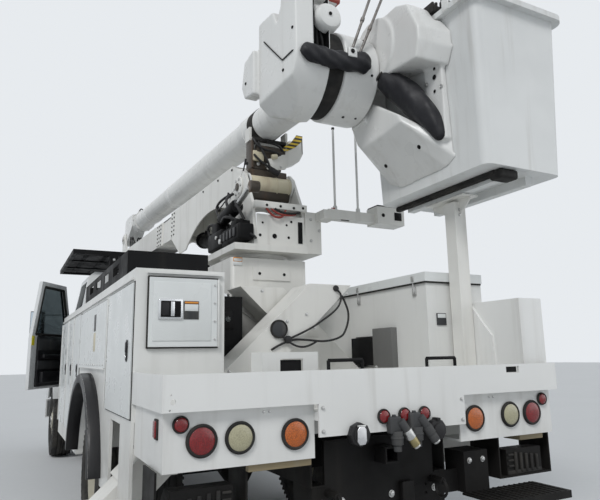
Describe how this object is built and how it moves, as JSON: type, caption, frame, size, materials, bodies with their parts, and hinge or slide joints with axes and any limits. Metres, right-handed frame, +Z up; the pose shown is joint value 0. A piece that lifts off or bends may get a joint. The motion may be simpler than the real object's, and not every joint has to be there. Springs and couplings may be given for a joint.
{
  "type": "bucket truck",
  "caption": "Cherry picker truck with a folded overcentre boom, covered bucket mount, line body with doors, and A-frame stands.",
  "frame": {"origin": "on the ground under the middle of the truck's bounding box", "axes": "+X to the truck's right, +Y forward, +Z up"},
  "size_m": [3.1258, 8.032, 4],
  "materials": {
    "white_paint": "satin white paint, weathered",
    "black_steel": "black chassis paint",
    "cast_metal": "cast",
    "glass": "tinted",
    "tyre_rubber": "matt rubber",
    "cream_rim": "cream paint",
    "black_plastic": "matt",
    "seat_fabric": "woven",
    "lamp_red": "clear lens",
    "fibreglass": "gel coat",
    "aluminium_tank": "brushed",
    "rod_chrome": "polished"
  },
  "bodies": {
    "chassis": {"frame_rails": "black_steel", "front_axle": "black_steel", "rear_axle": "black_steel", "engine": "cast_metal", "side_tanks": "aluminium_tank", "front_bumper": "white_paint", "cab_shell": "white_paint", "cab_glass": "glass", "dashboard": "black_plastic", "seats": "seat_fabric", "cab_guard": "black_steel", "deck": "white_paint", "compartments_left": "white_paint", "compartments_right": "white_paint", "top_tray": "black_steel", "tail_shelf": "white_paint", "tail_lamps": "lamp_red", "hitch": "black_steel", "receiver": "black_steel", "rear_ironwork": "black_steel", "reservoir": "black_steel", "bucket_post": "white_paint", "outrigger_housings": "white_paint", "pedestal": "white_paint"},
    "hood": {"hood": "white_paint", "grille": "black_plastic"},
    "cab_door_left": {"cab_door_left": "white_paint", "door_glass_left": "glass"},
    "cab_door_right": {"cab_door_right": "white_paint", "door_glass_right": "glass"},
    "bin_lid": {"bin_lid": "white_paint"},
    "end_door": {"end_door": "white_paint"},
    "leg_left": {"outrigger_leg_left": "white_paint"},
    "leg_right": {"outrigger_leg_right": "white_paint"},
    "turret": {"turret": "white_paint"},
    "lower_boom": {"lower_boom": "white_paint"},
    "upper_boom": {"upper_boom": "fibreglass", "boom_tip": "fibreglass"},
    "bucket": {"bucket": "fibreglass", "bucket_mount": "fibreglass"},
    "lift_barrel": {"lift_barrel": "black_steel"},
    "lift_rod": {"lift_rod": "rod_chrome"},
    "door_left_tall_rear": {"door_left_tall_rear": "white_paint"},
    "door_left_over_wheel": {"door_left_over_wheel": "white_paint"},
    "door_left_front_a": {"door_left_front_a": "white_paint"},
    "door_left_front_b": {"door_left_front_b": "white_paint"},
    "door_left_front_c": {"door_left_front_c": "white_paint"},
    "door_right_tall_rear": {"door_right_tall_rear": "white_paint"},
    "door_right_front_a": {"door_right_front_a": "white_paint"},
    "door_right_front_b": {"door_right_front_b": "white_paint"},
    "knuckle_left": {"knuckle_left": "black_steel"},
    "wheel_front_left": {"tyre_front_left": "tyre_rubber", "rim_front_left": "cream_rim"},
    "wheels_rear_left": {"tyres_rear_left": "tyre_rubber", "rims_rear_left": "cream_rim"},
    "knuckle_right": {"knuckle_right": "black_steel"},
    "wheel_front_right": {"tyre_front_right": "tyre_rubber", "rim_front_right": "cream_rim"},
    "wheels_rear_right": {"tyres_rear_right": "tyre_rubber", "rims_rear_right": "cream_rim"}
  },
  "joints": [
    {"name": "steer_left", "type": "hinge", "parent": "chassis", "child": "knuckle_left", "pos_m": [-0.85, 3.066, 0.5], "axis": [0, 0, 1], "range_deg": [-35, 35]},
    {"name": "roll_front_left", "type": "hinge", "parent": "knuckle_left", "child": "wheel_front_left", "pos_m": [-1.02, 3.066, 0.5], "axis": [-1, 0, 0], "continuous": true},
    {"name": "roll_rear_left", "type": "hinge", "parent": "chassis", "child": "wheels_rear_left", "pos_m": [-1.06, -1.524, 0.5], "axis": [-1, 0, 0], "continuous": true},
    {"name": "steer_right", "type": "hinge", "parent": "chassis", "child": "knuckle_right", "pos_m": [0.85, 3.066, 0.5], "axis": [0, 0, 1], "range_deg": [-35, 35]},
    {"name": "roll_front_right", "type": "hinge", "parent": "knuckle_right", "child": "wheel_front_right", "pos_m": [1.02, 3.066, 0.5], "axis": [-1, 0, 0], "continuous": true},
    {"name": "roll_rear_right", "type": "hinge", "parent": "chassis", "child": "wheels_rear_right", "pos_m": [1.06, -1.524, 0.5], "axis": [-1, 0, 0], "continuous": true},
    {"name": "hood_tilt", "type": "hinge", "parent": "chassis", "child": "hood", "pos_m": [0, 3.958, 0.786], "axis": [-1, 0, 0], "range_deg": [0, 60]},
    {"name": "swing_cab_door_left", "type": "hinge", "parent": "chassis", "child": "cab_door_left", "pos_m": [-1.043, 2.44, 1.5], "axis": [0, 0, -1], "range_deg": [-33, 37]},
    {"name": "swing_cab_door_right", "type": "hinge", "parent": "chassis", "child": "cab_door_right", "pos_m": [1.043, 2.44, 1.5], "axis": [0, 0, 1], "range_deg": [0, 70]},
    {"name": "swing_door_left_tall_rear", "type": "hinge", "parent": "chassis", "child": "door_left_tall_rear", "pos_m": [-1.235, -2.373, 1.42], "axis": [0, 0, -1], "range_deg": [0, 95]},
    {"name": "drop_door_left_over_wheel", "type": "hinge", "parent": "chassis", "child": "door_left_over_wheel", "pos_m": [-1.235, -1.564, 1.307], "axis": [0, -1, 0], "range_deg": [0, 90]},
    {"name": "swing_door_left_front_a", "type": "hinge", "parent": "chassis", "child": "door_left_front_a", "pos_m": [-1.235, -0.273, 1.24], "axis": [0, 0, -1], "range_deg": [0, 95]},
    {"name": "swing_door_left_front_b", "type": "hinge", "parent": "chassis", "child": "door_left_front_b", "pos_m": [-1.235, 0.267, 1.24], "axis": [0, 0, -1], "range_deg": [0, 95]},
    {"name": "swing_door_left_front_c", "type": "hinge", "parent": "chassis", "child": "door_left_front_c", "pos_m": [-1.235, 0.997, 1.24], "axis": [0, 0, -1], "range_deg": [0, 95]},
    {"name": "swing_door_right_tall_rear", "type": "hinge", "parent": "chassis", "child": "door_right_tall_rear", "pos_m": [1.235, -2.373, 1.42], "axis": [0, 0, 1], "range_deg": [0, 95]},
    {"name": "swing_door_right_front_a", "type": "hinge", "parent": "chassis", "child": "door_right_front_a", "pos_m": [1.235, 0.087, 1.24], "axis": [0, 0, 1], "range_deg": [0, 95]},
    {"name": "swing_door_right_front_b", "type": "hinge", "parent": "chassis", "child": "door_right_front_b", "pos_m": [1.235, 0.997, 1.24], "axis": [0, 0, 1], "range_deg": [0, 95]},
    {"name": "swing_end_door", "type": "hinge", "parent": "chassis", "child": "end_door", "pos_m": [-0.759, -3.232, 1.62], "axis": [0, 0, 1], "range_deg": [0, 90]},
    {"name": "lift_bin_lid", "type": "hinge", "parent": "chassis", "child": "bin_lid", "pos_m": [1.223, -2.0565, 1.86], "axis": [0, 1, 0], "range_deg": [0, 90]},
    {"name": "stand_left", "type": "slide", "parent": "chassis", "child": "leg_left", "axis": [-0.7314, 0, -0.682], "range_m": [0, 0.8]},
    {"name": "stand_right", "type": "slide", "parent": "chassis", "child": "leg_right", "axis": [0.7314, 0, -0.682], "range_m": [0, 0.8]},
    {"name": "slew", "type": "hinge", "parent": "chassis", "child": "turret", "pos_m": [0, -1.939, 2.13], "axis": [0, 0, 1], "continuous": true},
    {"name": "lower_boom_lift", "type": "hinge", "parent": "turret", "child": "lower_boom", "pos_m": [0.07, -2.004, 2.78], "axis": [1, 0, 0], "range_deg": [0, 90]},
    {"name": "upper_boom_fold", "type": "hinge", "parent": "lower_boom", "child": "upper_boom", "pos_m": [0.07, 3.87785, 3.45008], "axis": [1, 0, 0], "range_deg": [-180, 0]},
    {"name": "bucket_level", "type": "hinge", "parent": "upper_boom", "child": "bucket", "pos_m": [0.44, -2.924, 3.415], "axis": [1, 0, 0], "range_deg": [0, 90]},
    {"name": "lift_barrel_swing", "type": "hinge", "parent": "turret", "child": "lift_barrel", "pos_m": [0.07, -1.584, 2.38], "axis": [1, 0, 0], "range_deg": [0, 90]},
    {"name": "lift_rod_slide", "type": "slide", "parent": "lift_barrel", "child": "lift_rod", "axis": [0, 0.9763, 0.2163], "range_m": [0, 0.821]}
  ],
  "couplings": [
    {"joint": "steer_right", "follows": "steer_left", "ratio": 1},
    {"joint": "upper_boom_fold", "follows": "lower_boom_lift", "ratio": -2},
    {"joint": "bucket_level", "follows": "lower_boom_lift", "ratio": 1},
    {"joint": "lift_barrel_swing", "follows": "lower_boom_lift", "ratio": 0.9549},
    {"joint": "lift_rod_slide", "follows": "lower_boom_lift", "m_per_rad": 0.516}
  ]
}
